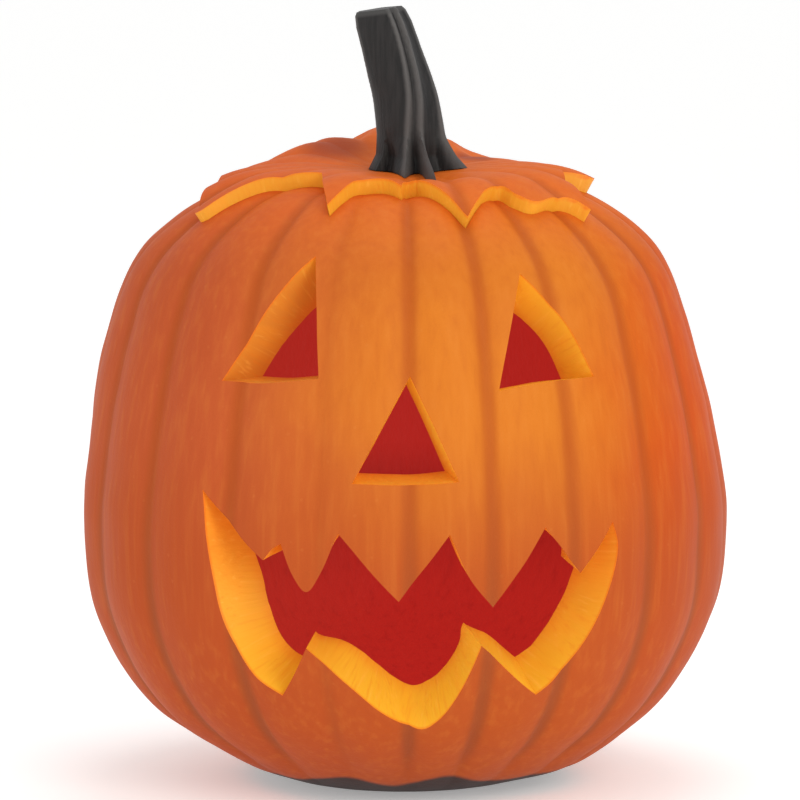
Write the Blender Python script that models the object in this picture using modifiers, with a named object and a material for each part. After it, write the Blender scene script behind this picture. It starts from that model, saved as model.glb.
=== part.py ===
"""Carved pumpkin lantern: a hollow pumpkin with a cut face, the lid cut from its top, and the stem.

Metres, +Z up. The face looks towards -Y, and the origin is the middle of the flat foot.
Sizes in the lists below are millimetres.
"""
import math

import bmesh
import bpy
from mathutils import Vector

MM = 0.001

# The whole fruit: (radius, height) down its side, from the stem's pit to the edge of the foot.
SKIN_PROFILE = [(0, 255), (22, 257.5), (48, 259.5), (74, 256.5), (100, 242), (117, 222), (129, 185),
                (136, 150), (139.5, 115), (134.5, 75), (114, 38), (83, 14), (57, 3.5), (38, 0)]
SKIN_RINGS = 27

# Azimuths of the grooves between the ribs, in degrees from the front (-Y) towards +X.
GROOVES = [-70, -51.5, -32, -14.5, 1, 15.5, 31, 48.5, 66, 84, 103,
           122, 141, 161, 182, 205, 223, 240, 256, 273]
STEPS_PER_RIB = 5
GROOVE_DEPTH = 3.4             # on the side; the grooves run out towards the stem and the foot
RIB_ROUNDNESS = 0.6            # 1 would be a sine wave; less gives a broad rib and a narrow groove
FAINT_GROOVE, FAINT_SHARE = 3, 0.45

# Where the fruit grew uneven: a place on the skin, how far it swells (or sinks), and how wide.
SWELLINGS = [((-125, 0, 195), 2.5, 45), ((125, 0, 205), -2.5, 50), ((-138, 0, 146), -1.0, 15),
             ((-75, -15, 10), -1.5, 35), ((70, -25, 8), 2.0, 25), ((139, 0, 92), 1.2, 40),
             ((0, -72, 258), 2.6, 70), ((6, -42, 262), -4.5, 24), ((12, -44, 262), -4.0, 17),
             ((-35, 38, 260), 7.5, 20), ((-3, 54, 260), 14.0, 24), ((-21, 46, 262), -3.5, 9),
             ((29, 46, 262), -3.0, 8), ((62, 40, 252), -1.5, 25)]
HEART = Vector((0, 0, 125)) * MM   # grooves and swellings run towards or away from this point

# The scraped-out hollow, and the lid that is cut through to it.
HOLLOW_PROFILE = [(0, 225), (40, 232), (66, 229), (86, 219), (99, 203), (106.5, 176), (111, 146),
                  (114, 115), (110, 84), (96, 56), (72, 37), (50, 28), (0, 26)]
HOLLOW_RINGS = 15
HOLLOW_STEPS = 40
LID_LIFT = 7.0                 # the lid sits this far proud of the rim
LID_TILT = math.radians(0.6)   # and is a little lower on the left
FIT_GAP = 0.35

# The zigzag round the lid, as the knife's strokes seen from above: each stroke is a smooth line
# through its points, and the strokes meet in corners. The blade points down at LID_AIM.
LID_PLANE = 262
LID_AIM = (0, 0, 110)
LID_STROKES = [
    [(-96, -51), (-76, -45), (-57, -40), (-43, -43), (-34, -45)],
    [(-34, -45), (-33.5, -90)],
    [(-33.5, -90), (-26, -78), (-18.5, -67), (-9, -67), (-1, -75)],
    [(-1, -75), (1, -65), (5, -65)],
    [(5, -65), (28.5, -99)],
    [(28.5, -99), (34, -76)],
    [(34, -76), (40, -65), (48, -72), (58, -75), (67, -60), (74, -58), (85, -62)],
    [(85, -62), (71, -36), (64, -8)],
    [(64, -8), (83, 3)],
    [(83, 3), (68, 29)], [(68, 29), (73, 60)], [(73, 60), (46, 63)], [(46, 63), (34, 91)],
    [(34, 91), (8, 79)], [(8, 79), (-19, 97)], [(-19, 97), (-39, 74)], [(-39, 74), (-69, 73)],
    [(-69, 73), (-73, 44)], [(-73, 44), (-96, 4)], [(-96, 4), (-96, -51)],
]

# The face: outlines as the strokes meet the upright plane y = FACE_PLANE just in front of the skin,
# given as (x, z), and the point that the blade aims at, which sets the slant of the cut walls.
FACE_PLANE = -150
FACE = {
    "left_eye": ((-33, -45, 180), [
        [(-39.5, 285), (-65, 252.5), (-84.5, 224.5), (-109, 189)],
        [(-109, 189), (-69.5, 188), (-36, 191)],
        [(-36, 191), (-39.5, 285)]]),
    "right_eye": ((38, -35, 175), [
        [(55, 267.5), (87.5, 235.5), (108.5, 195)],
        [(108.5, 195), (68, 190.5), (39.5, 185.5)],
        [(39.5, 185.5), (55, 267.5)]]),
    "nose": ((-8, 0, 146), [
        [(4.5, 198), (26, 147)],
        [(26, 147), (6, 145.5), (-23, 146)],
        [(-23, 146), (4.5, 198)]]),
    "mouth": ((7, 0, 126), [
        [(-117.5, 145.5), (-85.5, 121), (-70, 111)],
        [(-70, 111), (-64.5, 117), (-59.5, 120)],
        [(-59.5, 120), (-53.5, 105), (-46.5, 97.5), (-39, 107.5), (-30.5, 125.5)],
        [(-30.5, 125.5), (-3, 95)],
        [(-3, 95), (20, 125.5)],
        [(20, 125.5), (28.5, 106), (41, 89.5)],
        [(41, 89.5), (68, 127)],
        [(68, 127), (92.5, 100.5)],
        [(92.5, 100.5), (117, 127)],
        [(117, 127), (121, 110), (112, 83), (97, 56.5), (84, 38.5), (71, 30.5)],
        [(71, 30.5), (36, 70.5)],
        [(36, 70.5), (28, 47.5), (16, 22.5), (5.5, 13.5), (-9, 25.5), (-28, 47.5), (-48.5, 68)],
        [(-48.5, 68), (-57, 51.5), (-68, 33)],
        [(-68, 33), (-86, 42.5), (-100.5, 68), (-109.5, 105), (-117.5, 145.5)]]),
}
CURVE_STEPS = 3                # facets between two points of a curved stroke

# The stem: (radius, height above the foot) from its cut top down into the lid.
STEM_PROFILE = [(0, 331.5), (9.2, 332.5), (11, 331), (12.8, 318), (14, 301), (14.6, 288), (15.2, 278),
                (17, 271), (20.5, 265), (22, 258), (22, 246), (0, 246)]
STEM_RIDGES = [(-88, 5), (-14, 12), (16, 20), (84, 10), (140, 5), (205, 5)]
STEM_STEPS = 36
RIDGE_HEIGHT = 1.1             # how far a ridge stands out along the stem
STEM_LINE = [(5, 246), (5, 262), (4, 278), (0.5, 298), (-4.5, 317), (-11.5, 337)]   # (x, z)
STEM_TOP_SLANT = 0.14          # its cut end rises this much per unit towards the right

COLOURS = {"pumpkin_shell": (0.80, 0.20, 0.025, 1), "lid": (0.80, 0.22, 0.025, 1),
           "stem": (0.033, 0.031, 0.031, 1)}
ROUGHNESS = {"pumpkin_shell": 0.42, "lid": 0.42, "stem": 0.6}


def clear_scene():
    for obj in list(bpy.data.objects):
        bpy.data.objects.remove(obj, do_unlink=True)


def new_collection(name):
    collection = bpy.data.collections.new(name)
    bpy.context.scene.collection.children.link(collection)
    return collection


def new_object(name, mesh, collection):
    obj = bpy.data.objects.new(name, mesh)
    collection.objects.link(obj)
    return obj


def smooth_line(points, steps):
    """A Catmull-Rom line through the points, with this many pieces between each two."""
    points = [Vector(p) for p in points]
    if len(points) == 2:
        return points
    ends = [2 * points[0] - points[1]] + points + [2 * points[-1] - points[-2]]
    line = []
    for a, b, c, d in zip(ends, ends[1:], ends[2:], ends[3:]):
        for i in range(steps):
            t = i / steps
            line.append(0.5 * (2 * b + (c - a) * t + (2 * a - 5 * b + 4 * c - d) * t ** 2
                               + (3 * b - a - 3 * c + d) * t ** 3))
    return line + [points[-1]]


def evenly_spaced(line, count):
    """The same line with count points at equal distances."""
    travelled = [0.0]
    for p, q in zip(line, line[1:]):
        travelled.append(travelled[-1] + (q - p).length)
    spaced, k = [], 0
    for i in range(count):
        at = travelled[-1] * i / (count - 1)
        while k < len(line) - 2 and travelled[k + 1] < at:
            k += 1
        share = (at - travelled[k]) / (travelled[k + 1] - travelled[k])
        spaced.append(line[k].lerp(line[k + 1], min(share, 1.0)))
    return spaced


def turned_mesh(name, profile, steps):
    """Turn a profile of (radius, height), which runs from top to bottom, round the Z axis."""
    bm = bmesh.new()
    verts = [bm.verts.new((radius * MM, 0, height * MM)) for radius, height in profile]
    for a, b in zip(verts, verts[1:]):
        bm.edges.new((a, b))
    outline = bpy.data.meshes.new(name + "_profile")
    bm.to_mesh(outline)
    bm.free()
    obj = new_object(name + "_profile", outline, bpy.context.scene.collection)
    screw = obj.modifiers.new("Screw", "SCREW")
    screw.axis = "Z"
    screw.steps = screw.render_steps = steps
    screw.use_merge_vertices = True
    screw.merge_threshold = 0.00001
    evaluated = obj.evaluated_get(bpy.context.evaluated_depsgraph_get())
    mesh = bpy.data.meshes.new_from_object(evaluated)
    mesh.name = name
    bpy.data.objects.remove(obj)
    bm = bmesh.new()
    bm.from_mesh(mesh)
    bmesh.ops.remove_doubles(bm, verts=bm.verts, dist=0.00001)
    bmesh.ops.recalc_face_normals(bm, faces=bm.faces)
    bm.to_mesh(mesh)
    bm.free()
    return mesh


def fade(value, start, end):
    """0 up to start, 1 from end on, and smooth between."""
    t = min(max((value - start) / (end - start), 0.0), 1.0)
    return t * t * (3 - 2 * t)


def grow(mesh):
    """Give a turned body the pumpkin's ribs, of uneven width, and its swellings."""
    ribs = len(GROOVES)
    azimuths = GROOVES + [GROOVES[0] + 360]
    strength = [FAINT_SHARE if k == FAINT_GROOVE else 1.0 for k in range(ribs)]
    strength.append(strength[0])
    for vert in mesh.vertices:
        point = vert.co / MM
        radius = math.hypot(point.x, point.y)
        turn = (math.atan2(point.y, point.x) % math.tau) / math.tau * ribs
        turn = round(turn * STEPS_PER_RIB) / STEPS_PER_RIB % ribs
        rib = int(turn)
        across = turn - rib
        azimuth = math.radians(azimuths[rib] + (azimuths[rib + 1] - azimuths[rib]) * across)
        point.x, point.y = radius * math.sin(azimuth), -radius * math.cos(azimuth)

        depth = GROOVE_DEPTH * (strength[rib] + (strength[rib + 1] - strength[rib]) * across)
        depth *= 1 - math.sin(math.pi * across) ** RIB_ROUNDNESS
        depth *= fade(point.z, 0, 24) * fade(radius, 0, 105)
        for place, height, width in SWELLINGS:
            distance = (point - Vector(place)).length
            depth -= height * math.exp(-(distance / width) ** 2) * fade(point.z, 0, 12)
        outward = point * MM - HEART
        vert.co = HEART + outward * (1 - depth * MM / outward.length)


def fruit_mesh(name):
    side = evenly_spaced(smooth_line(SKIN_PROFILE, 12), SKIN_RINGS)
    mesh = turned_mesh(name, [tuple(p) for p in side] + [(0, 0)], len(GROOVES) * STEPS_PER_RIB)
    grow(mesh)
    bm = bmesh.new()
    bm.from_mesh(mesh)
    bmesh.ops.triangulate(bm, faces=bm.faces)      # so that every copy has the same facets
    bm.to_mesh(mesh)
    bm.free()
    return mesh


def hollow_mesh(name):
    side = evenly_spaced(smooth_line(HOLLOW_PROFILE, 8), HOLLOW_RINGS)
    return turned_mesh(name, [tuple(p) for p in side], HOLLOW_STEPS)


def raise_lid(mesh):
    """Move a mesh from where it grew to where the lid now sits."""
    for vert in mesh.vertices:
        vert.co.z += LID_LIFT * MM + vert.co.x * math.tan(LID_TILT)


def outline_of(strokes):
    """One closed outline from the strokes, with each corner once."""
    outline = []
    for stroke in strokes:
        outline += smooth_line(stroke, CURVE_STEPS)[:-1]
    return outline


def knife_cut(name, outline, aim, near, far, collection, shrink=0.0):
    """A cutter whose walls all slant to the point the blade aims at.

    The outline is a list of points in one plane. near and far say where the cutter starts and
    ends, as shares of the distance from the aim to that plane. shrink draws the outline in.
    """
    aim = Vector(aim) * MM
    bm = bmesh.new()
    drawn = bm.faces.new([bm.verts.new(Vector(p) * MM) for p in outline])
    drawn.normal_update()
    if shrink:
        ring = bmesh.ops.inset_individual(bm, faces=[drawn], thickness=shrink * MM,
                                          use_even_offset=True)
        bmesh.ops.delete(bm, geom=ring["faces"], context="FACES")
    start = list(drawn.verts)
    ends = bmesh.ops.extrude_face_region(bm, geom=[drawn], use_keep_orig=True)["geom"]
    ends = [item for item in ends if isinstance(item, bmesh.types.BMVert)]
    for verts, share in ((start, near), (ends, far)):
        for vert in verts:
            vert.co = aim + (vert.co - aim) * share
    bmesh.ops.recalc_face_normals(bm, faces=bm.faces)
    mesh = bpy.data.meshes.new(name)
    bm.to_mesh(mesh)
    bm.free()
    return as_cutter(new_object(name, mesh, collection))


def as_cutter(obj):
    obj.hide_render = True
    obj.display_type = "WIRE"
    return obj


def combine(obj, operation, cutter):
    modifier = obj.modifiers.new(cutter.name, "BOOLEAN")
    modifier.operation = operation
    modifier.solver = "EXACT"
    modifier.object = cutter


def finish(obj):
    """The piece's own material, and smooth skin with sharp cut edges."""
    material = bpy.data.materials.new(obj.name)
    material.use_nodes = True
    shader = material.node_tree.nodes["Principled BSDF"]
    shader.inputs["Base Color"].default_value = COLOURS[obj.name]
    shader.inputs["Roughness"].default_value = ROUGHNESS[obj.name]
    shader.inputs["Metallic"].default_value = 0.0
    obj.data.materials.append(material)
    obj.data.shade_smooth()


def make_shell(parts, cutters):
    shell = new_object("pumpkin_shell", fruit_mesh("pumpkin_shell"), parts)
    combine(shell, "DIFFERENCE", as_cutter(new_object("hollow", hollow_mesh("hollow"), cutters)))
    rim = [(p.x, p.y, LID_PLANE) for p in outline_of(LID_STROKES)]
    combine(shell, "DIFFERENCE", knife_cut("lid_hole", rim, LID_AIM, 1.25, 0.5, cutters))
    for name, (aim, strokes) in FACE.items():
        outline = [(p.x, FACE_PLANE, p.y) for p in outline_of(strokes)]
        combine(shell, "DIFFERENCE", knife_cut(name, outline, aim, 1.0, 0.1, cutters))
    finish(shell)


def make_lid(parts, cutters):
    """The same skin and hollow, lifted, and trimmed to the hole it rests in."""
    skin, hollow = fruit_mesh("lid"), hollow_mesh("lid_hollow")
    raise_lid(skin)
    raise_lid(hollow)
    lid = new_object("lid", skin, parts)
    rim = [(p.x, p.y, LID_PLANE) for p in outline_of(LID_STROKES)]
    trim = knife_cut("lid_trim", rim, LID_AIM, 1.25, 0.5, cutters, shrink=FIT_GAP)
    combine(lid, "INTERSECT", trim)
    combine(lid, "DIFFERENCE", as_cutter(new_object("lid_hollow", hollow, cutters)))
    finish(lid)


def shape_stem(mesh):
    """Ridges that spread at the foot, the lean along STEM_LINE, and the slanted cut end."""
    ridges = [azimuth for azimuth, flare in STEM_RIDGES] + [STEM_RIDGES[0][0] + 360]
    flares = [flare for azimuth, flare in STEM_RIDGES + STEM_RIDGES[:1]]
    line = smooth_line(STEM_LINE, 8)
    top = STEM_PROFILE[0][1]
    for vert in mesh.vertices:
        point = vert.co / MM
        radius = math.hypot(point.x, point.y)
        if radius < 0.1:
            azimuth, height, flare = 0.0, 0.0, 0.0
        else:
            azimuth = math.degrees(math.atan2(point.x, -point.y))
            azimuth = (azimuth - ridges[0]) % 360 + ridges[0]
            k = max(i for i in range(len(STEM_RIDGES)) if ridges[i] <= azimuth + 0.001)
            across = (azimuth - ridges[k]) / (ridges[k + 1] - ridges[k])
            height = abs(2 * across - 1) ** 1.6 * 2 - 1
            flare = max(flares[k + round(across)] * height, -5)
        spread = 1 - fade(point.z, 258, 284)
        radius += (height * RIDGE_HEIGHT + flare * spread) * min(radius / 9, 1)
        azimuth = math.radians(azimuth)
        k = max(i for i in range(len(line) - 1) if line[i].y <= point.z or i == 0)
        share = (point.z - line[k].y) / (line[k + 1].y - line[k].y)
        middle = line[k].lerp(line[k + 1], share).x
        along = radius * math.sin(azimuth)
        lift = STEM_TOP_SLANT * along * fade(point.z, 300, top)
        vert.co = Vector((middle + along, -radius * math.cos(azimuth), point.z + lift)) * MM


def make_stem(parts, cutters):
    mesh = turned_mesh("stem", STEM_PROFILE, STEM_STEPS)
    shape_stem(mesh)
    stem = new_object("stem", mesh, parts)
    seat = fruit_mesh("stem_seat")
    raise_lid(seat)
    for vert in seat.vertices:
        vert.co.z += FIT_GAP * MM
    combine(stem, "DIFFERENCE", as_cutter(new_object("stem_seat", seat, cutters)))
    finish(stem)


clear_scene()
lantern = new_collection("carved_pumpkin_lantern")
knives = new_collection("cutters")
make_shell(lantern, knives)
make_lid(lantern, knives)
make_stem(lantern, knives)
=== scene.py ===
"""Carved pumpkin lantern: the looks of the carved body, its lid and its stem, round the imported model.

Metres, +Z up. The face looks towards -Y, and the origin is the middle of the flat foot.
Outlines and profiles are millimetres.
"""
import math

import bmesh
import bpy
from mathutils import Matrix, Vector, noise
from mathutils.bvhtree import BVHTree


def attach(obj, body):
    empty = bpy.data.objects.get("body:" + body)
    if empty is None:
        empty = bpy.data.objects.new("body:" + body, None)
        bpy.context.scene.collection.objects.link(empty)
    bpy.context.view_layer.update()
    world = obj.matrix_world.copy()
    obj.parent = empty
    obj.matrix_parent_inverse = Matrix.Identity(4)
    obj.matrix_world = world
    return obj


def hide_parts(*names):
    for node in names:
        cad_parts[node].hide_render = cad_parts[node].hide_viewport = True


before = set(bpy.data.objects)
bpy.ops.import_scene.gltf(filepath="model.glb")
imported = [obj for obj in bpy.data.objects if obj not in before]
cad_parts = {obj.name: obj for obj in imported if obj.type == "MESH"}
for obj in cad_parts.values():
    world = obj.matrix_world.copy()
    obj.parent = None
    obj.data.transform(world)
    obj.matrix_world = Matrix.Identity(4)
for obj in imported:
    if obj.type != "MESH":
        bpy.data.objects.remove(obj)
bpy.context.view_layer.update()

# ---------------------------------------------------------------------------------------------
# Studio
# A white product table, a long lens a little above the pumpkin's shoulder, a large soft lamp from
# the right and front, a weaker one on the left, and one from above.
# ---------------------------------------------------------------------------------------------
MM = 0.001

SENSOR_WIDTH = 36                  # millimetres
CAMERA_DISTANCE = 2.5
CAMERA_RISE = math.radians(7.5)
FRAME_WIDTH = 0.3467               # what the lens takes in, side to side, at the pumpkin
PUMPKIN_MIDDLE = Vector((0, 0, 0.137))
FRAME_MIDDLE = Vector((-0.0017, 0, 0.1645))

camera_data = bpy.data.cameras.new("camera")
camera_data.sensor_width = SENSOR_WIDTH
camera_data.lens = SENSOR_WIDTH * CAMERA_DISTANCE / FRAME_WIDTH
camera_data.clip_end = 20
camera = bpy.data.objects.new("camera", camera_data)
bpy.context.scene.collection.objects.link(camera)
camera.location = PUMPKIN_MIDDLE + CAMERA_DISTANCE * Vector(
    (0, -math.cos(CAMERA_RISE), math.sin(CAMERA_RISE)))
camera.rotation_euler = (FRAME_MIDDLE - camera.location).to_track_quat("-Z", "Y").to_euler()
bpy.context.scene.camera = camera
bpy.context.scene.view_settings.view_transform = "Standard"


def linear(hex_colour):
    """An sRGB colour such as "e07729" as linear light, with alpha."""
    parts = [int(hex_colour[i:i + 2], 16) / 255 for i in (0, 2, 4)]
    return [p / 12.92 if p <= 0.04045 else ((p + 0.055) / 1.055) ** 2.4 for p in parts] + [1.0]


def add(tree, kind, options, inputs):
    """Add a node with its options, and give its inputs a value or another node's output."""
    made = tree.nodes.new(kind)
    for name, value in options.items():
        setattr(made, name, value)
    for name, value in inputs.items():
        if isinstance(value, bpy.types.NodeSocket):
            tree.links.new(value, made.inputs[name])
        else:
            made.inputs[name].default_value = value
    return made


def lamp(name, place, aim, size, watts, colour):
    """A round soft lamp that points at its aim."""
    data = bpy.data.lights.new(name, "AREA")
    data.shape = "DISK"
    data.size = size
    data.energy = watts
    data.color = linear(colour)[:3]
    obj = bpy.data.objects.new(name, data)
    bpy.context.scene.collection.objects.link(obj)
    obj.location = place
    obj.rotation_euler = (Vector(aim) - Vector(place)).to_track_quat("-Z", "Y").to_euler()


lamp("key", (0.75, -1.35, 0.75), (0.02, 0, 0.13), 0.9, 9, "fff8f0")
lamp("fill", (-1.3, -1.0, 0.45), (0, 0, 0.12), 0.9, 2.5, "fff6f0")
lamp("top", (0.1, 0.25, 1.4), (0, 0, 0.15), 0.8, 3.5, "ffffff")

# White walls all round: they look pure white, and give somewhat less light than that.
WALL_LIGHT = 0.75
world = bpy.data.worlds.new("white_studio_walls")
world.use_nodes = True
walls = world.node_tree.nodes["Background"]
seen = add(world.node_tree, "ShaderNodeLightPath", {}, {}).outputs["Is Camera Ray"]
brightness = add(world.node_tree, "ShaderNodeMath", {"operation": "MULTIPLY_ADD"},
                 {0: seen, 1: 1 - WALL_LIGHT, 2: WALL_LIGHT}).outputs[0]
walls.inputs["Color"].default_value = linear("ffffff")
world.node_tree.links.new(brightness, walls.inputs["Strength"])
bpy.context.scene.world = world

# A wide table of matt white acrylic, lit from below, so that it looks pure white.
acrylic = bpy.data.materials.new("backlit_white_acrylic")
acrylic.use_nodes = True
shader = acrylic.node_tree.nodes["Principled BSDF"]
shader.inputs["Base Color"].default_value = linear("f6f6f5")
shader.inputs["Emission Color"].default_value = linear("ffffff")
shader.inputs["Emission Strength"].default_value = 0.3
shader.inputs["Roughness"].default_value = 0.9

TABLE_RADIUS = 14
bm = bmesh.new()
bmesh.ops.create_circle(bm, cap_ends=True, radius=TABLE_RADIUS, segments=64)
table_mesh = bpy.data.meshes.new("studio_table")
bm.to_mesh(table_mesh)
bm.free()
table_mesh.materials.append(acrylic)
table = bpy.data.objects.new("studio_table", table_mesh)
bpy.context.scene.collection.objects.link(table)

# ---------------------------------------------------------------------------------------------
# Pumpkin shell
# A ripe carving pumpkin, grown in uneven ribs, scraped out to a wall of about 25 mm. The eyes,
# the nose and the jagged grin are cut with a knife that points inwards, to about one place for
# each opening, so the cut walls slant. The lid's zigzag is cut round the crown in the same way.
# ---------------------------------------------------------------------------------------------
SKIN_PROFILE = [(0, 255), (22, 257.5), (48, 259.5), (74, 256.5), (100, 242), (117, 222), (129, 185),
                (136, 150), (139.5, 115), (134.5, 75), (114, 38), (83, 14), (57, 3.5), (38, 0)]
SKIN_RINGS = 150
PROFILE_STEPS = 24                 # pieces between two points of a profile
MERGE_DISTANCE = 0.00001           # metres
GROOVES = [-70, -51.5, -32, -14.5, 1, 15.5, 31, 48.5, 66, 84, 103,
           122, 141, 161, 182, 205, 223, 240, 256, 273]      # degrees from the front towards +X
STEPS_PER_RIB = 16
GROOVE_DEPTH = 3.6
RIB_ROUNDNESS = 0.6
SKIN_WAVE, SKIN_WAVE_HEIGHT = 16, 0.35
GROOVE_BOTTOM = 0.012              # how rounded the bottom of a groove is
FAINT_GROOVE, FAINT_SHARE = 3, 0.45
GROOVE_SHADE = 3.6                 # how far the painted groove shade spreads from a groove
FOOT_HEIGHT = 12                   # the skin is even on the foot, and uneven above this height
GROOVES_FULL = (24, 105)           # height and radius from which the grooves are full depth
SHADE_HEIGHTS, SHADE_RADII = (2, 40), (40, 100)   # where the painted groove shade starts and is full
SWELLINGS = [((-125, 0, 195), 2.5, 45), ((125, 0, 205), -2.5, 50), ((-138, 0, 146), -1.0, 15),
             ((-75, -15, 10), -1.5, 35), ((70, -25, 8), 2.0, 25), ((139, 0, 92), 1.2, 40),
             ((0, -72, 258), 2.6, 70), ((6, -42, 262), -4.5, 24), ((12, -44, 262), -4.0, 17),
             ((-35, 38, 260), 7.5, 20), ((-3, 54, 260), 14.0, 24), ((-21, 48, 262), -4.5, 7),
             ((29, 48, 262), -3.5, 7), ((18, 50, 262), 3.0, 11), ((62, 40, 252), -1.5, 25)]
HEART = Vector((0, 0, 125))        # grooves and swellings run towards or away from this point

HOLLOW_PROFILE = [(0, 225), (40, 232), (66, 229), (86, 219), (99, 203), (106.5, 176), (111, 146),
                  (114, 115), (110, 84), (96, 56), (72, 37), (50, 28), (0, 26)]
HOLLOW_RINGS = 90
HOLLOW_STEPS = 200
SCOOP_WIDTH, SCOOP_DEPTH = 13, 0.9  # marks that the spoon leaves in the pulp
THREAD_WIDTH, THREAD_DEPTH, THREAD_STRETCH = 2.2, 0.35, 5

LID_LIFT = 7.0
LID_TILT = math.radians(0.6)
FIT_GAP = 0.35
LID_PLANE = 262
LID_AIM = (0, 0, 110)
LID_HANDLE, LID_TIP = 1.25, 0.5    # the blade's ends, as shares of the way from aim to plane
LID_STROKES = [
    [(-92, -50), (-76, -45), (-57, -40), (-43, -43), (-34, -45)],
    [(-34, -45), (-33.5, -90)],
    [(-33.5, -90), (-26, -78), (-18.5, -67), (-9, -67), (-1, -75)],
    [(-1, -75), (1, -65), (5, -65)],
    [(5, -65), (28.5, -99)],
    [(28.5, -99), (34, -76)],
    [(34, -76), (40, -65), (48, -72), (58, -75), (67, -60), (74, -58), (85, -62)],
    [(85, -62), (71, -36), (64, -8)],
    [(64, -8), (76, -3), (82, 0), (83.5, 4), (81, 9)],
    [(81, 9), (68, 29)], [(68, 29), (73, 60)], [(73, 60), (46, 63)], [(46, 63), (34, 91)],
    [(34, 91), (8, 79)], [(8, 79), (-19, 97)], [(-19, 97), (-39, 74)], [(-39, 74), (-69, 73)],
    [(-69, 73), (-73, 44)], [(-73, 44), (-80, 4)],
    [(-80, 4), (-89, -20), (-96, -40), (-96.5, -48), (-92, -50)],
]

FACE_PLANE, TIP_PLANE = -150, -56  # where the face is drawn, and how far in the blade reaches
FACE = {
    "left_eye": ((-33, -45, 180), [
        [(-39.5, 285), (-65, 252.5), (-84.5, 224.5), (-109, 189)],
        [(-109, 189), (-69.5, 188), (-36, 191)],
        [(-36, 191), (-39.5, 285)]]),
    "right_eye": ((38, -35, 175), [
        [(55, 267.5), (87.5, 235.5), (108.5, 195)],
        [(108.5, 195), (68, 190.5), (39.5, 185.5)],
        [(39.5, 185.5), (55, 267.5)]]),
    "nose": ((-8, 0, 146), [
        [(4.5, 198), (26, 147)],
        [(26, 147), (6, 145.5), (-23, 146)],
        [(-23, 146), (4.5, 198)]]),
    "mouth": ((7, 0, 126), [
        [(-117.5, 145.5), (-85.5, 121), (-70, 111)],
        [(-70, 111), (-64.5, 117), (-59.5, 120)],
        [(-59.5, 120), (-53.5, 105), (-46.5, 97.5), (-39, 107.5), (-30.5, 125.5)],
        [(-30.5, 125.5), (-3, 95)],
        [(-3, 95), (20, 125.5)],
        [(20, 125.5), (28.5, 106), (41, 89.5)],
        [(41, 89.5), (68, 127)],
        [(68, 127), (92.5, 100.5)],
        [(92.5, 100.5), (117, 127)],
        [(117, 127), (121, 110), (112, 83), (97, 56.5), (84, 38.5), (71, 30.5)],
        [(71, 30.5), (36, 70.5)],
        [(36, 70.5), (28, 47.5), (16, 22.5), (5.5, 13.5), (-9, 25.5), (-28, 47.5), (-48.5, 68)],
        [(-48.5, 68), (-57, 51.5), (-68, 33)],
        [(-68, 33), (-86, 42.5), (-100.5, 68), (-109.5, 105), (-117.5, 145.5)]]),
}
BLADE_TURNS = {                    # where the aim swings aside: (place, how far it moves, reach)
    "left_eye": [((-74, 230), (15, 0, 5), 200)],
    "right_eye": [((74, 230), (-4, 0, 0), 200)],
    "nose": [((2, 165), (1, 0, 7), 200)],
    "mouth": [((-105, 80), (54, 0, 0), 36), ((-65, 116), (-34, 0, 0), 8),
              ((-42, 110), (-56, 0, 0), 15), ((83, 114), (52, 0, 0), 21),
              ((-48.5, 68), (-34, 0, -34), 14), ((36, 70.5), (-18, 0, -12), 12),
              ((5.5, 13.5), (-16, 0, 12), 16)],
}
STROKE_STEPS = 12                  # facets between two points of a curved stroke
CUT_SPACING = 3.0                  # a straight stroke is divided into pieces of this length
CUT_RINGS = 40                     # divisions along the blade
BLADE_WOBBLE, WOBBLE_WIDTH = 0.25, 14   # how far the blade strays, and in how wide waves
CUT_SHARP_ANGLE = math.radians(40)


def smooth_line(points, steps):
    """A Catmull-Rom line through the points, with this many pieces between each two."""
    points = [Vector(p) for p in points]
    ends = [2 * points[0] - points[1]] + points + [2 * points[-1] - points[-2]]
    line = []
    for a, b, c, d in zip(ends, ends[1:], ends[2:], ends[3:]):
        for i in range(steps):
            t = i / steps
            line.append(0.5 * (2 * b + (c - a) * t + (2 * a - 5 * b + 4 * c - d) * t ** 2
                               + (3 * b - a - 3 * c + d) * t ** 3))
    return line + [points[-1]]


def evenly_spaced(line, count):
    """The same line with count points at equal distances."""
    travelled = [0.0]
    for p, q in zip(line, line[1:]):
        travelled.append(travelled[-1] + (q - p).length)
    spaced, k = [], 0
    for i in range(count):
        at = travelled[-1] * i / (count - 1)
        while k < len(line) - 2 and travelled[k + 1] < at:
            k += 1
        share = (at - travelled[k]) / (travelled[k + 1] - travelled[k])
        spaced.append(line[k].lerp(line[k + 1], min(share, 1.0)))
    return spaced


def spun(profile, steps):
    """Spin a profile of (radius, height), which ends on the axis, once round Z."""
    bm = bmesh.new()
    verts = [bm.verts.new((p[0] * MM, 0, p[1] * MM)) for p in profile]
    edges = [bm.edges.new(pair) for pair in zip(verts, verts[1:])]
    bmesh.ops.spin(bm, geom=verts + edges, cent=(0, 0, 0), axis=(0, 0, 1), angle=math.tau,
                   steps=steps, use_merge=True)
    bmesh.ops.remove_doubles(bm, verts=bm.verts, dist=MERGE_DISTANCE)
    bmesh.ops.recalc_face_normals(bm, faces=bm.faces)
    return bm


def fade(value, start, end):
    """0 up to start, 1 from end on, and smooth between."""
    t = min(max((value - start) / (end - start), 0.0), 1.0)
    return t * t * (3 - 2 * t)


def groove_strength(k):
    """How deep and dark the groove at this place in the list is."""
    return FAINT_SHARE if k % len(GROOVES) == FAINT_GROOVE else 1.0


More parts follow.
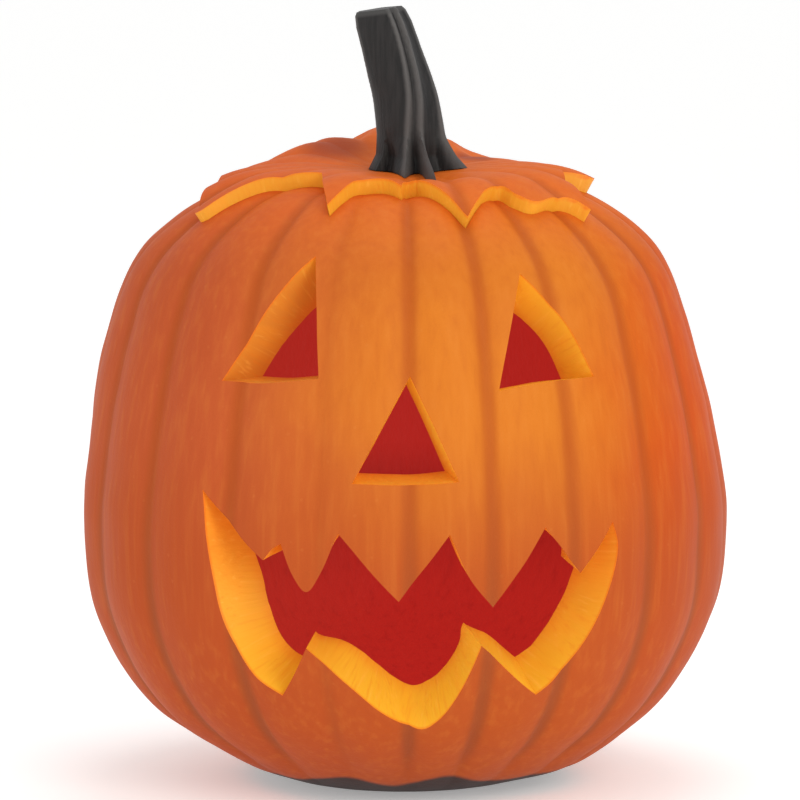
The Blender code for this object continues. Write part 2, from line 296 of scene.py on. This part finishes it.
def fruit():
    """The whole pumpkin, before any knife: uneven ribs, swellings, and a slightly bumpy skin."""
    side = evenly_spaced(smooth_line(SKIN_PROFILE, PROFILE_STEPS), SKIN_RINGS)
    bm = spun([tuple(p) for p in side] + [(0, 0)], len(GROOVES) * STEPS_PER_RIB)
    azimuths = GROOVES + [GROOVES[0] + 360]
    for vert in bm.verts:
        point = vert.co / MM
        radius = math.hypot(point.x, point.y)
        turn = (math.atan2(point.y, point.x) % math.tau) / math.tau * len(GROOVES)
        turn = round(turn * STEPS_PER_RIB) / STEPS_PER_RIB % len(GROOVES)
        rib = int(turn)
        across = turn - rib
        azimuth = math.radians(azimuths[rib] + (azimuths[rib + 1] - azimuths[rib]) * across)
        point.x, point.y = radius * math.sin(azimuth), -radius * math.cos(azimuth)

        rise = (math.sin(math.pi * across) ** 2 + GROOVE_BOTTOM) ** (RIB_ROUNDNESS / 2)
        depth = GROOVE_DEPTH * (1 - rise)
        depth *= groove_strength(rib) + (groove_strength(rib + 1) - groove_strength(rib)) * across
        depth *= fade(point.z, 0, GROOVES_FULL[0]) * fade(radius, 0, GROOVES_FULL[1])
        for place, height, width in SWELLINGS:
            distance = (point - Vector(place)).length
            depth -= height * math.exp(-(distance / width) ** 2) * fade(point.z, 0, FOOT_HEIGHT)
        depth += SKIN_WAVE_HEIGHT * noise.noise(point / SKIN_WAVE) * fade(point.z, 0, FOOT_HEIGHT)
        outward = point - HEART
        vert.co = (HEART + outward * (1 - depth / outward.length)) * MM
    return bm


def hollow():
    """What the spoon takes out: rounded scoops over fine threads of pulp."""
    side = evenly_spaced(smooth_line(HOLLOW_PROFILE, PROFILE_STEPS), HOLLOW_RINGS)
    bm = spun([tuple(p) for p in side], HOLLOW_STEPS)
    bm.normal_update()
    for vert in bm.verts:
        point = vert.co / MM
        scoop = abs(noise.noise(point / SCOOP_WIDTH)) * SCOOP_DEPTH
        hanging = Vector((point.x, point.y, point.z / THREAD_STRETCH))
        thread = noise.noise(hanging / THREAD_WIDTH) * THREAD_DEPTH
        vert.co = vert.co + vert.normal * (scoop + thread) * MM
    return bm


def outline_of(strokes):
    """One closed outline from the knife's strokes, with each corner once."""
    outline = []
    for stroke in strokes:
        if len(stroke) == 2:
            length = (Vector(stroke[1]) - Vector(stroke[0])).length
            steps = max(round(length / CUT_SPACING), 2)
            ends = [Vector(p) for p in stroke]
            outline += [ends[0].lerp(ends[1], i / steps) for i in range(steps)]
        else:
            outline += smooth_line(stroke, STROKE_STEPS)[:-1]
    return outline


def narrowed(outline, gap):
    """The same flat outline, drawn in by a gap all round."""
    bm = bmesh.new()
    drawn = bm.faces.new([bm.verts.new(p) for p in outline])
    drawn.normal_update()
    bmesh.ops.inset_individual(bm, faces=[drawn], thickness=gap, use_even_offset=True)
    inner = [vert.co.copy() for vert in drawn.verts]
    bm.free()
    return inner


def entered(outline, aim, turns):
    """Where the blade's handle and tip are at each point: it enters the skin where the outline is
    drawn, and its aim swings aside near each turn's place."""
    handles, tips = [], []
    for x, z in outline:
        start = Vector((x, FACE_PLANE, z))
        skin = skin_tree.ray_cast(start * MM, Vector(aim) - start)[0] / MM
        inner = Vector(aim)
        for place, move, reach in turns:
            inner += Vector(move) * math.exp(-((x - place[0]) ** 2 + (z - place[1]) ** 2) / reach ** 2)
        slant = (skin - inner) / (skin.y - inner.y)
        handles.append(inner + slant * (FACE_PLANE - inner.y))
        tips.append(inner + slant * (TIP_PLANE - inner.y))
    return handles, tips


def wedge(handles, tips):
    """What the blade frees on its way round, between two outlines that match point for point."""
    bm = bmesh.new()
    outer = [bm.verts.new(Vector(p) * MM) for p in handles]
    drawn = bm.faces.new(outer)
    bmesh.ops.extrude_face_region(bm, geom=[drawn], use_keep_orig=True)
    ring = set(outer)
    along = []
    for vert, tip in zip(outer, tips):
        side = next(edge for edge in vert.link_edges if edge.other_vert(vert) not in ring)
        side.other_vert(vert).co = Vector(tip) * MM
        along.append(side)
    bmesh.ops.subdivide_edges(bm, edges=along, cuts=CUT_RINGS, use_grid_fill=True)
    bmesh.ops.recalc_face_normals(bm, faces=bm.faces)
    bm.normal_update()
    for vert in bm.verts:
        stray = noise.noise(vert.co / MM / WOBBLE_WIDTH) * BLADE_WOBBLE * MM
        vert.co = vert.co + vert.normal * stray
    return bm


def lid_wedge(outline):
    """The blade's way round the lid, from above the crown down into the hollow."""
    aim = Vector(LID_AIM)
    return wedge([aim.lerp(p, LID_HANDLE) for p in outline], [aim.lerp(p, LID_TIP) for p in outline])


def piece_of(name, bm, material):
    """A named object from a bmesh, all of one material."""
    mesh = bpy.data.meshes.new(name)
    bm.to_mesh(mesh)
    bm.free()
    mesh.materials.append(material)
    obj = bpy.data.objects.new(name, mesh)
    bpy.context.scene.collection.objects.link(obj)
    return obj


def cut(obj, steps):
    """Apply each (operation, tool) in turn, and keep each tool's material on the faces it makes."""
    for operation, tool in steps:
        modifier = obj.modifiers.new(tool.name, "BOOLEAN")
        modifier.operation = operation
        modifier.solver = "MANIFOLD"
        modifier.material_mode = "TRANSFER"
        modifier.object = tool
    result = bpy.data.meshes.new_from_object(obj.evaluated_get(bpy.context.evaluated_depsgraph_get()))
    result.name = obj.name
    obj.modifiers.clear()
    obj.data = result
    for operation, tool in steps:
        bpy.data.objects.remove(tool)


def mark_surface(obj, skin_tree, lift):
    """Note at each point the skin above it, how deep it lies, and, from how near it is to a groove, how
    much painted groove shade it gets.
    """
    places, depths, grooves = [], [], []
    azimuths = [GROOVES[-1] - 360] + GROOVES + [GROOVES[0] + 360]
    for vert in obj.data.vertices:
        grown = vert.co - Vector((0, 0, lift * MM))
        skin_place, normal, face, depth = skin_tree.find_nearest(grown)
        places.extend(skin_place)
        depths.append(depth / MM)
        azimuth = math.degrees(math.atan2(grown.x, -grown.y))
        azimuth = (azimuth - GROOVES[0]) % 360 + GROOVES[0]
        radius = math.hypot(grown.x, grown.y) / MM
        near = min(range(len(azimuths)), key=lambda k: abs(azimuths[k] - azimuth))
        away = math.radians(abs(azimuths[near] - azimuth)) * radius
        shade = math.exp(-(away / GROOVE_SHADE) ** 2) * groove_strength(near - 1)
        grooves.append(shade * fade(grown.z / MM, *SHADE_HEIGHTS) * fade(radius, *SHADE_RADII))
    for name, values in (("depth_mm", depths), ("groove", grooves)):
        obj.data.attributes.new(name, "FLOAT", "POINT").data.foreach_set("value", values)
    obj.data.attributes.new("skin_place", "FLOAT_VECTOR", "POINT").data.foreach_set("vector", places)


def tinted(tree, colour, tints):
    """Lay tints over a colour. Each is (what decides, where it starts, where it is full, how
    strong it is there, its colour)."""
    for value, start, full, strength, tint in tints:
        amount = add(tree, "ShaderNodeMapRange", {"interpolation_type": "SMOOTHSTEP"},
                     {"Value": value, "From Min": start, "From Max": full,
                      "To Max": strength}).outputs[0]
        colour = add(tree, "ShaderNodeMix", {"data_type": "RGBA"},
                     {0: amount, 6: colour, 7: linear(tint)}).outputs[2]
    return colour


# Pumpkin rind: a waxy orange skin, satin, with fine pores and faint upright streaks, and clouds of tone
# about 45 mm wide. Partly ripening tone and partly painted shade and light make it redder and darker on
# its left, at its right edge and low down, and yellower at the front right. Painted shade makes it
# browner in the grooves and darker in two dents in the crown behind the stalk, and underneath it lies
# as a charcoal band with two points in its edge.
rind = bpy.data.materials.new("waxy_pumpkin_rind")
rind.use_nodes = True
tree = rind.node_tree
shader = tree.nodes["Principled BSDF"]
place = add(tree, "ShaderNodeTexCoord", {}, {}).outputs["Object"]
axes = add(tree, "ShaderNodeSeparateXYZ", {}, {"Vector": place}).outputs
groove = add(tree, "ShaderNodeAttribute", {"attribute_name": "groove"}, {}).outputs["Fac"]
cloud = add(tree, "ShaderNodeTexNoise", {}, {"Vector": place, "Scale": 22, "Detail": 3}).outputs[0]
upright = add(tree, "ShaderNodeMapping", {}, {"Vector": place, "Scale": (1, 1, 0.06)}).outputs[0]
streak = add(tree, "ShaderNodeTexNoise", {},
             {"Vector": upright, "Scale": 1 / 0.0035, "Detail": 3}).outputs[0]
pore = add(tree, "ShaderNodeTexNoise", {},
           {"Vector": place, "Scale": 1 / 0.0011, "Detail": 2}).outputs[0]
freckle = add(tree, "ShaderNodeTexVoronoi", {}, {"Vector": place, "Scale": 1 / 0.008}).outputs[0]
sideways = add(tree, "ShaderNodeMath", {"operation": "MULTIPLY_ADD"},
               {0: cloud, 1: 0.04, 2: axes["X"]}).outputs[0]
# Painted shade and light over some ripening tone: darker left, right edge and low, brighter front
# right.
colour = tinted(tree, linear("b9532a"), [
    (sideways, -0.072, 0.045, 1.0, "cf7522"),
    (sideways, 0.080, 0.142, 0.95, "c54d12"),
    (sideways, -0.115, -0.145, 0.7, "c14e1a"),
    (axes["Z"], 0.225, 0.270, 0.75, "d85e1a"),
    (axes["Z"], 0.175, 0.095, 0.87, "af4b1f"),
    (streak, 0.45, 0.75, 0.12, "e08c3a"),
    (streak, 0.52, 0.25, 0.12, "a3431c"),
    (cloud, 0.55, 0.35, 0.12, "ae4a1e"),
    (freckle, 0.12, 0.06, 0.06, "e0944e"),
    # Painted shade in the grooves.
    (groove, 0.0, 1.0, 0.62, "a84a18")])
# Painted shade, a greyer brown, low in the grooves.
deep = add(tree, "ShaderNodeMapRange", {"interpolation_type": "SMOOTHSTEP"},
           {"Value": groove, "From Min": 0.1, "From Max": 1.0, "To Max": 0.5}).outputs[0]
low = add(tree, "ShaderNodeMapRange", {"interpolation_type": "SMOOTHSTEP"},
          {"Value": axes["Z"], "From Min": 0.17, "From Max": 0.05}).outputs[0]
low_groove_shade = add(tree, "ShaderNodeMath", {"operation": "MULTIPLY"}, {0: deep, 1: low}).outputs[0]
colour = add(tree, "ShaderNodeMix", {"data_type": "RGBA"},
             {0: low_groove_shade, 6: colour, 7: linear("8a4a2c")}).outputs[2]
# Painted shade in two dents of the crown behind the stalk.
for middle, reach in (((-0.030, 0.028, 0.276), 0.022), ((0.030, 0.030, 0.268), 0.014)):
    away = add(tree, "ShaderNodeVectorMath", {"operation": "DISTANCE"},
               {0: place, 1: middle}).outputs["Value"]
    colour = tinted(tree, colour, [(away, reach, reach * 0.25, 0.8, "943c22")])
# Painted shade underneath: a charcoal band that rises at two points.
height = add(tree, "ShaderNodeMath", {"operation": "MULTIPLY_ADD"},
             {0: cloud, 1: -0.004, 2: axes["Z"]}).outputs[0]
for point in (-0.025, 0.018):
    away = add(tree, "ShaderNodeMath", {"operation": "SUBTRACT"}, {0: axes["X"], 1: point}).outputs[0]
    away = add(tree, "ShaderNodeMath", {"operation": "ABSOLUTE"}, {0: away}).outputs[0]
    rise = add(tree, "ShaderNodeMapRange", {"interpolation_type": "SMOOTHSTEP"},
               {"Value": away, "From Min": 0.022, "From Max": 0.0, "To Max": 0.0055}).outputs[0]
    height = add(tree, "ShaderNodeMath", {"operation": "SUBTRACT"}, {0: height, 1: rise}).outputs[0]
colour = tinted(tree, colour, [(height, 0.0078, 0.0052, 0.95, "322f30")])
tree.links.new(colour, shader.inputs["Base Color"])
rough = add(tree, "ShaderNodeMapRange", {}, {"Value": cloud, "To Min": 0.46, "To Max": 0.60}).outputs[0]
tree.links.new(rough, shader.inputs["Roughness"])
shader.inputs["Specular IOR Level"].default_value = 0.08
relief = add(tree, "ShaderNodeMath", {"operation": "MULTIPLY_ADD"},
             {0: streak, 1: 1.4, 2: pore}).outputs[0]
bump = add(tree, "ShaderNodeBump", {},
           {"Height": relief, "Distance": 0.00016, "Strength": 0.7}).outputs[0]
tree.links.new(bump, shader.inputs["Normal"])

# Pumpkin flesh: the wet cut wall. Under a thin deeper line of rind it is yellow-orange, yellower
# low down, redder towards the pulp and duller with painted shade in the left eye, and it has fine
# fibres that run straight in from the skin. Light scatters in it, and a faint painted glow keeps it
# from ever going quite dark.
flesh = bpy.data.materials.new("cut_pumpkin_flesh")
flesh.use_nodes = True
tree = flesh.node_tree
shader = tree.nodes["Principled BSDF"]
place = add(tree, "ShaderNodeTexCoord", {}, {}).outputs["Object"]
axes = add(tree, "ShaderNodeSeparateXYZ", {}, {"Vector": place}).outputs
depth = add(tree, "ShaderNodeAttribute", {"attribute_name": "depth_mm"}, {}).outputs["Fac"]
above = add(tree, "ShaderNodeAttribute", {"attribute_name": "skin_place"}, {}).outputs["Vector"]
inwards = add(tree, "ShaderNodeCombineXYZ", {}, {"Z": depth}).outputs[0]
inwards = add(tree, "ShaderNodeVectorMath", {"operation": "SCALE"},
              {0: inwards, "Scale": 0.00012}).outputs[0]
along = add(tree, "ShaderNodeVectorMath", {"operation": "ADD"}, {0: above, 1: inwards}).outputs[0]
fibre = add(tree, "ShaderNodeTexNoise", {},
            {"Vector": along, "Scale": 1 / 0.0016, "Detail": 3}).outputs[0]
patch = add(tree, "ShaderNodeTexNoise", {},
            {"Vector": along, "Scale": 1 / 0.011, "Detail": 2}).outputs[0]
colour = tinted(tree, linear("e6922b"), [
    (axes["Z"], 0.13, 0.05, 1.0, "e9b12b"),
    (axes["Z"], 0.135, 0.165, 1.0, "eaac30"),
    (axes["Z"], 0.228, 0.242, 0.85, "df9a2a")])
# Painted shade in the left eye: its cut wall is duller.
left_eye = 1.0
for axis, start, full, strength in (
        ("Z", 0.165, 0.185, 1.0), ("Z", 0.245, 0.225, 1.0), ("X", 0.0, -0.03, 0.85)):
    part = add(tree, "ShaderNodeMapRange", {"interpolation_type": "SMOOTHSTEP"},
               {"Value": axes[axis], "From Min": start, "From Max": full,
                "To Max": strength}).outputs[0]
    left_eye = add(tree, "ShaderNodeMath", {"operation": "MULTIPLY"},
                   {0: left_eye, 1: part}).outputs[0]
colour = add(tree, "ShaderNodeMix", {"data_type": "RGBA"},
             {0: left_eye, 6: colour, 7: linear("cf7c2e")}).outputs[2]
colour = tinted(tree, colour, [
    (fibre, 0.55, 0.78, 0.3, "f8c25a"),
    (fibre, 0.48, 0.25, 0.35, "dd8222"),
    (patch, 0.5, 0.7, 0.25, "f09a2a"),
    (depth, 16, 26, 0.35, "e4701f"),
    (depth, 1.6, 0.3, 0.7, "e0731f")])
tree.links.new(colour, shader.inputs["Base Color"])
# A faint painted glow in the flesh's own colour.
tree.links.new(colour, shader.inputs["Emission Color"])
shader.inputs["Emission Strength"].default_value = 0.13
shader.inputs["Roughness"].default_value = 0.45
shader.inputs["IOR"].default_value = 1.38
shader.inputs["Subsurface Weight"].default_value = 0.12
shader.inputs["Subsurface Radius"].default_value = (1.0, 0.45, 0.15)
shader.inputs["Subsurface Scale"].default_value = 0.004
bump = add(tree, "ShaderNodeBump", {},
           {"Height": fibre, "Distance": 0.0004, "Strength": 0.6}).outputs[0]
tree.links.new(bump, shader.inputs["Normal"])

# Scraped pulp: the deep red inside of the hollow, rough with torn threads about 3 mm wide. It
# has a faint painted glow, which stands in for a lamp inside and shows how red it is.
pulp = bpy.data.materials.new("scraped_red_pulp")
pulp.use_nodes = True
tree = pulp.node_tree
shader = tree.nodes["Principled BSDF"]
place = add(tree, "ShaderNodeTexCoord", {}, {}).outputs["Object"]
axes = add(tree, "ShaderNodeSeparateXYZ", {}, {"Vector": place}).outputs
hanging = add(tree, "ShaderNodeMapping", {}, {"Vector": place, "Scale": (1, 1, 0.22)}).outputs[0]
thread = add(tree, "ShaderNodeTexNoise", {},
             {"Vector": hanging, "Scale": 1 / 0.003, "Detail": 4}).outputs[0]
colour = tinted(tree, linear("9d241f"), [
    (axes["Z"], 0.115, 0.06, 1.0, "b92e27"),
    (thread, 0.50, 0.80, 0.25, "c43527"),
    (thread, 0.50, 0.20, 0.25, "84191a"),
    (axes["Z"], 0.110, 0.135, 1.0, "b32d26"),
    (axes["X"], 0.01, -0.07, 0.35, "a63c2d")])
tree.links.new(colour, shader.inputs["Base Color"])
# Painted glow in the pulp's own colour.
tree.links.new(colour, shader.inputs["Emission Color"])
shader.inputs["Emission Strength"].default_value = 0.48
shader.inputs["Roughness"].default_value = 0.6
bump = add(tree, "ShaderNodeBump", {},
           {"Height": thread, "Distance": 0.0012, "Strength": 0.7}).outputs[0]
tree.links.new(bump, shader.inputs["Normal"])

whole_fruit = fruit()
skin_tree = BVHTree.FromBMesh(whole_fruit)
shell = piece_of("carved_shell", whole_fruit.copy(), rind)
rim = [Vector((p.x, p.y, LID_PLANE)) for p in outline_of(LID_STROKES)]
cuts = [("DIFFERENCE", piece_of("hollow", hollow(), pulp)),
        ("DIFFERENCE", piece_of("lid_hole", lid_wedge(rim), flesh))]
for name, (aim, strokes) in FACE.items():
    handles, tips = entered(outline_of(strokes), aim, BLADE_TURNS[name])
    cuts.append(("DIFFERENCE", piece_of(name, wedge(handles, tips), flesh)))
cut(shell, cuts)
mark_surface(shell, skin_tree, 0.0)
shell.data.shade_smooth()
shell.data.set_sharp_from_angle(angle=CUT_SHARP_ANGLE)
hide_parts("pumpkin_shell")
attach(shell, "root")

# ---------------------------------------------------------------------------------------------
# Lid
# The crown of the same pumpkin, lifted a little out of the zigzag that it was cut from. Its cut
# edge shows as a band of yellow-orange flesh between its skin and the shell's.
# ---------------------------------------------------------------------------------------------


def raised(bm, extra=0.0):
    """Move a shape from where it grew to where the lid now sits."""
    for vert in bm.verts:
        vert.co.z += (LID_LIFT + extra) * MM + vert.co.x * math.tan(LID_TILT)
    return bm


lid = piece_of("cut_lid", raised(whole_fruit.copy()), rind)
cut(lid, [("INTERSECT", piece_of("lid_trim", lid_wedge(narrowed(rim, FIT_GAP)), flesh)),
          ("DIFFERENCE", piece_of("lid_hollow", raised(hollow()), pulp))])
mark_surface(lid, skin_tree, LID_LIFT)
lid.data.shade_smooth()
lid.data.set_sharp_from_angle(angle=CUT_SHARP_ANGLE)
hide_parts("lid")
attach(lid, "root")

# ---------------------------------------------------------------------------------------------
# Stem
# The dried stalk, cut off square and nearly black. Its ridges spread over the lid in pointed
# tongues, and it leans to the left.
# ---------------------------------------------------------------------------------------------
STEM_PROFILE = [(0, 333.6), (9.0, 333.6), (10.2, 332), (11.3, 327), (12.0, 316), (13.0, 305),
                (13.7, 294), (14.8, 280), (16.5, 271), (20, 265), (21.5, 258), (21.5, 246), (0, 246)]
STEM_RIDGES = [(-105, -1), (-9, 7), (11, 27), (57, 9), (140, 5), (205, 5)]   # (azimuth, spread)
STEM_STEPS = 180
STEM_SPACING = 1.2                 # largest distance between two rings
STEM_TWIST = 34                    # degrees that the ridges turn on their way up
RIDGE_HEIGHT, RIDGE_SHARPNESS = 1.0, 1.6
DEEPEST_HOLLOW = -5                # between two tongues
CREST_HIGHLIGHT_WIDTH = 8                    # degrees beside a ridge's crest that carry a painted highlight
TONGUE_HEIGHTS = (258, 284)        # the tongues run out between these
TWIST_HEIGHTS = (272, 325)
SLANT_HEIGHT = 300                 # the slant of the cut end starts here
CORE_RADIUS = 9                    # inside it the ridges die out
CUT_EDGE = (3.5, 0.5)              # how far below the top the cut end's paler colour and painted highlight start and are full
STEM_LINE = [(5, 246), (5, 262), (3.8, 278), (1.4, 294), (-1.8, 305), (-5.4, 316), (-12, 337)]
STEM_TOP_SLANT = 0.14
STEM_SHARP_ANGLE = math.radians(50)
STEM_LEAN = math.radians(12)


def ridge_turn(height):
    """How many degrees the ridges have turned at this height."""
    return STEM_TWIST * fade(height, *TWIST_HEIGHTS)


def divided(profile, spacing):
    """The same profile with points no further apart than spacing, and its corners kept."""
    fine = []
    for a, b in zip(profile, profile[1:]):
        steps = max(round((Vector(b) - Vector(a)).length / spacing), 1)
        fine += [tuple(Vector(a).lerp(Vector(b), i / steps)) for i in range(steps)]
    return fine + [profile[-1]]


def stalk():
    """The ridged stalk, wider where it grows out of the lid, leaning, with a slanted cut end."""
    bm = spun(divided(STEM_PROFILE, STEM_SPACING), STEM_STEPS)
    ridges = [azimuth for azimuth, flare in STEM_RIDGES] + [STEM_RIDGES[0][0] + 360]
    flares = [flare for azimuth, flare in STEM_RIDGES + STEM_RIDGES[:1]]
    line = smooth_line(STEM_LINE, PROFILE_STEPS)
    top = STEM_PROFILE[0][1]
    for vert in bm.verts:
        point = vert.co / MM
        radius = math.hypot(point.x, point.y)
        azimuth, height, flare = 0.0, 0.0, 0.0
        if radius > 0.1:
            azimuth = math.degrees(math.atan2(point.x, -point.y))
            grown = (azimuth - ridge_turn(point.z) - ridges[0]) % 360 + ridges[0]
            k = max(i for i in range(len(STEM_RIDGES)) if ridges[i] <= grown)
            across = (grown - ridges[k]) / (ridges[k + 1] - ridges[k])
            height = abs(2 * across - 1) ** RIDGE_SHARPNESS * 2 - 1
            flare = max(flares[k + round(across)] * height, DEEPEST_HOLLOW)
        spread = 1 - fade(point.z, *TONGUE_HEIGHTS)
        radius += (height * RIDGE_HEIGHT + flare * spread) * min(radius / CORE_RADIUS, 1)
        azimuth = math.radians(azimuth)
        k = max(i for i in range(len(line) - 1) if line[i].y <= point.z or i == 0)
        part_way = (point.z - line[k].y) / (line[k + 1].y - line[k].y)
        middle = line[k].lerp(line[k + 1], part_way).x
        along = radius * math.sin(azimuth)
        lift = STEM_TOP_SLANT * along * fade(point.z, SLANT_HEIGHT, top)
        vert.co = Vector((middle + along, -radius * math.cos(azimuth), point.z + lift)) * MM
    return bm


def mark_stalk(obj):
    """Note at each point how close it is to a ridge's crest, for a painted highlight, and which part is
    the cut end.
    """
    ridges = [azimuth for azimuth, flare in STEM_RIDGES] + [STEM_RIDGES[0][0] + 360]
    line = smooth_line(STEM_LINE, PROFILE_STEPS)
    crest_highlights, ends = [], []
    for vert in obj.data.vertices:
        point = vert.co / MM
        middle = min(line, key=lambda p: abs(p.y - point.z)).x
        azimuth = math.degrees(math.atan2(point.x - middle, -point.y))
        azimuth = (azimuth - ridge_turn(point.z) - ridges[0]) % 360 + ridges[0]
        away = min(abs(azimuth - ridge) for ridge in ridges)
        crest_highlights.append(math.exp(-(away / CREST_HIGHLIGHT_WIDTH) ** 2))
        end = STEM_PROFILE[1][1] + STEM_TOP_SLANT * (point.x - middle)
        ends.append(fade(point.z, end - CUT_EDGE[0], end - CUT_EDGE[1]))
    for name, values in (("ridge", crest_highlights), ("cut_end", ends)):
        obj.data.attributes.new(name, "FLOAT", "POINT").data.foreach_set("value", values)


# Dried stalk: charcoal-dark corky wood, with fibres along it, a painted highlight on the ridges,
# and open-pored and paler on the cut end, partly its own colour and partly a painted highlight
# along its top edge.
stalk_wood = bpy.data.materials.new("charcoal_dried_stalk")
stalk_wood.use_nodes = True
tree = stalk_wood.node_tree
shader = tree.nodes["Principled BSDF"]
place = add(tree, "ShaderNodeTexCoord", {}, {}).outputs["Object"]
lengthways = add(tree, "ShaderNodeMapping", {},
                 {"Vector": place, "Rotation": (0, STEM_LEAN, 0),
                  "Scale": (1, 1, 0.08)}).outputs[0]
grain = add(tree, "ShaderNodeTexNoise", {},
            {"Vector": lengthways, "Scale": 1 / 0.0016, "Detail": 4}).outputs[0]
crumb = add(tree, "ShaderNodeTexNoise", {},
            {"Vector": place, "Scale": 1 / 0.0012, "Detail": 3}).outputs[0]
ridge = add(tree, "ShaderNodeAttribute", {"attribute_name": "ridge"}, {}).outputs["Fac"]
cut_end = add(tree, "ShaderNodeAttribute", {"attribute_name": "cut_end"}, {}).outputs["Fac"]
colour = tinted(tree, linear("181818"), [
    (grain, 0.3, 0.7, 1.0, "272626"),
    # Painted highlight on the ridges' crests.
    (ridge, 0.2, 1.0, 0.7, "605f5e"),
    # The cut end is paler, partly its own colour and partly a painted highlight along its top edge.
    (cut_end, 0.2, 0.9, 0.7, "4a4948")])
tree.links.new(colour, shader.inputs["Base Color"])
rough = add(tree, "ShaderNodeMapRange", {}, {"Value": grain, "To Min": 0.42, "To Max": 0.6}).outputs[0]
tree.links.new(rough, shader.inputs["Roughness"])
shader.inputs["Specular IOR Level"].default_value = 0.25
relief = add(tree, "ShaderNodeMath", {"operation": "MULTIPLY_ADD"},
             {0: crumb, 1: 0.5, 2: grain}).outputs[0]
bump = add(tree, "ShaderNodeBump", {},
           {"Height": relief, "Distance": 0.0005, "Strength": 0.5}).outputs[0]
tree.links.new(bump, shader.inputs["Normal"])

stem = piece_of("dried_stem", stalk(), stalk_wood)
cut(stem, [("DIFFERENCE", piece_of("stem_seat", raised(whole_fruit, FIT_GAP), stalk_wood))])
stem.data.shade_smooth()
stem.data.set_sharp_from_angle(angle=STEM_SHARP_ANGLE)
mark_stalk(stem)
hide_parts("stem")
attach(stem, "root")
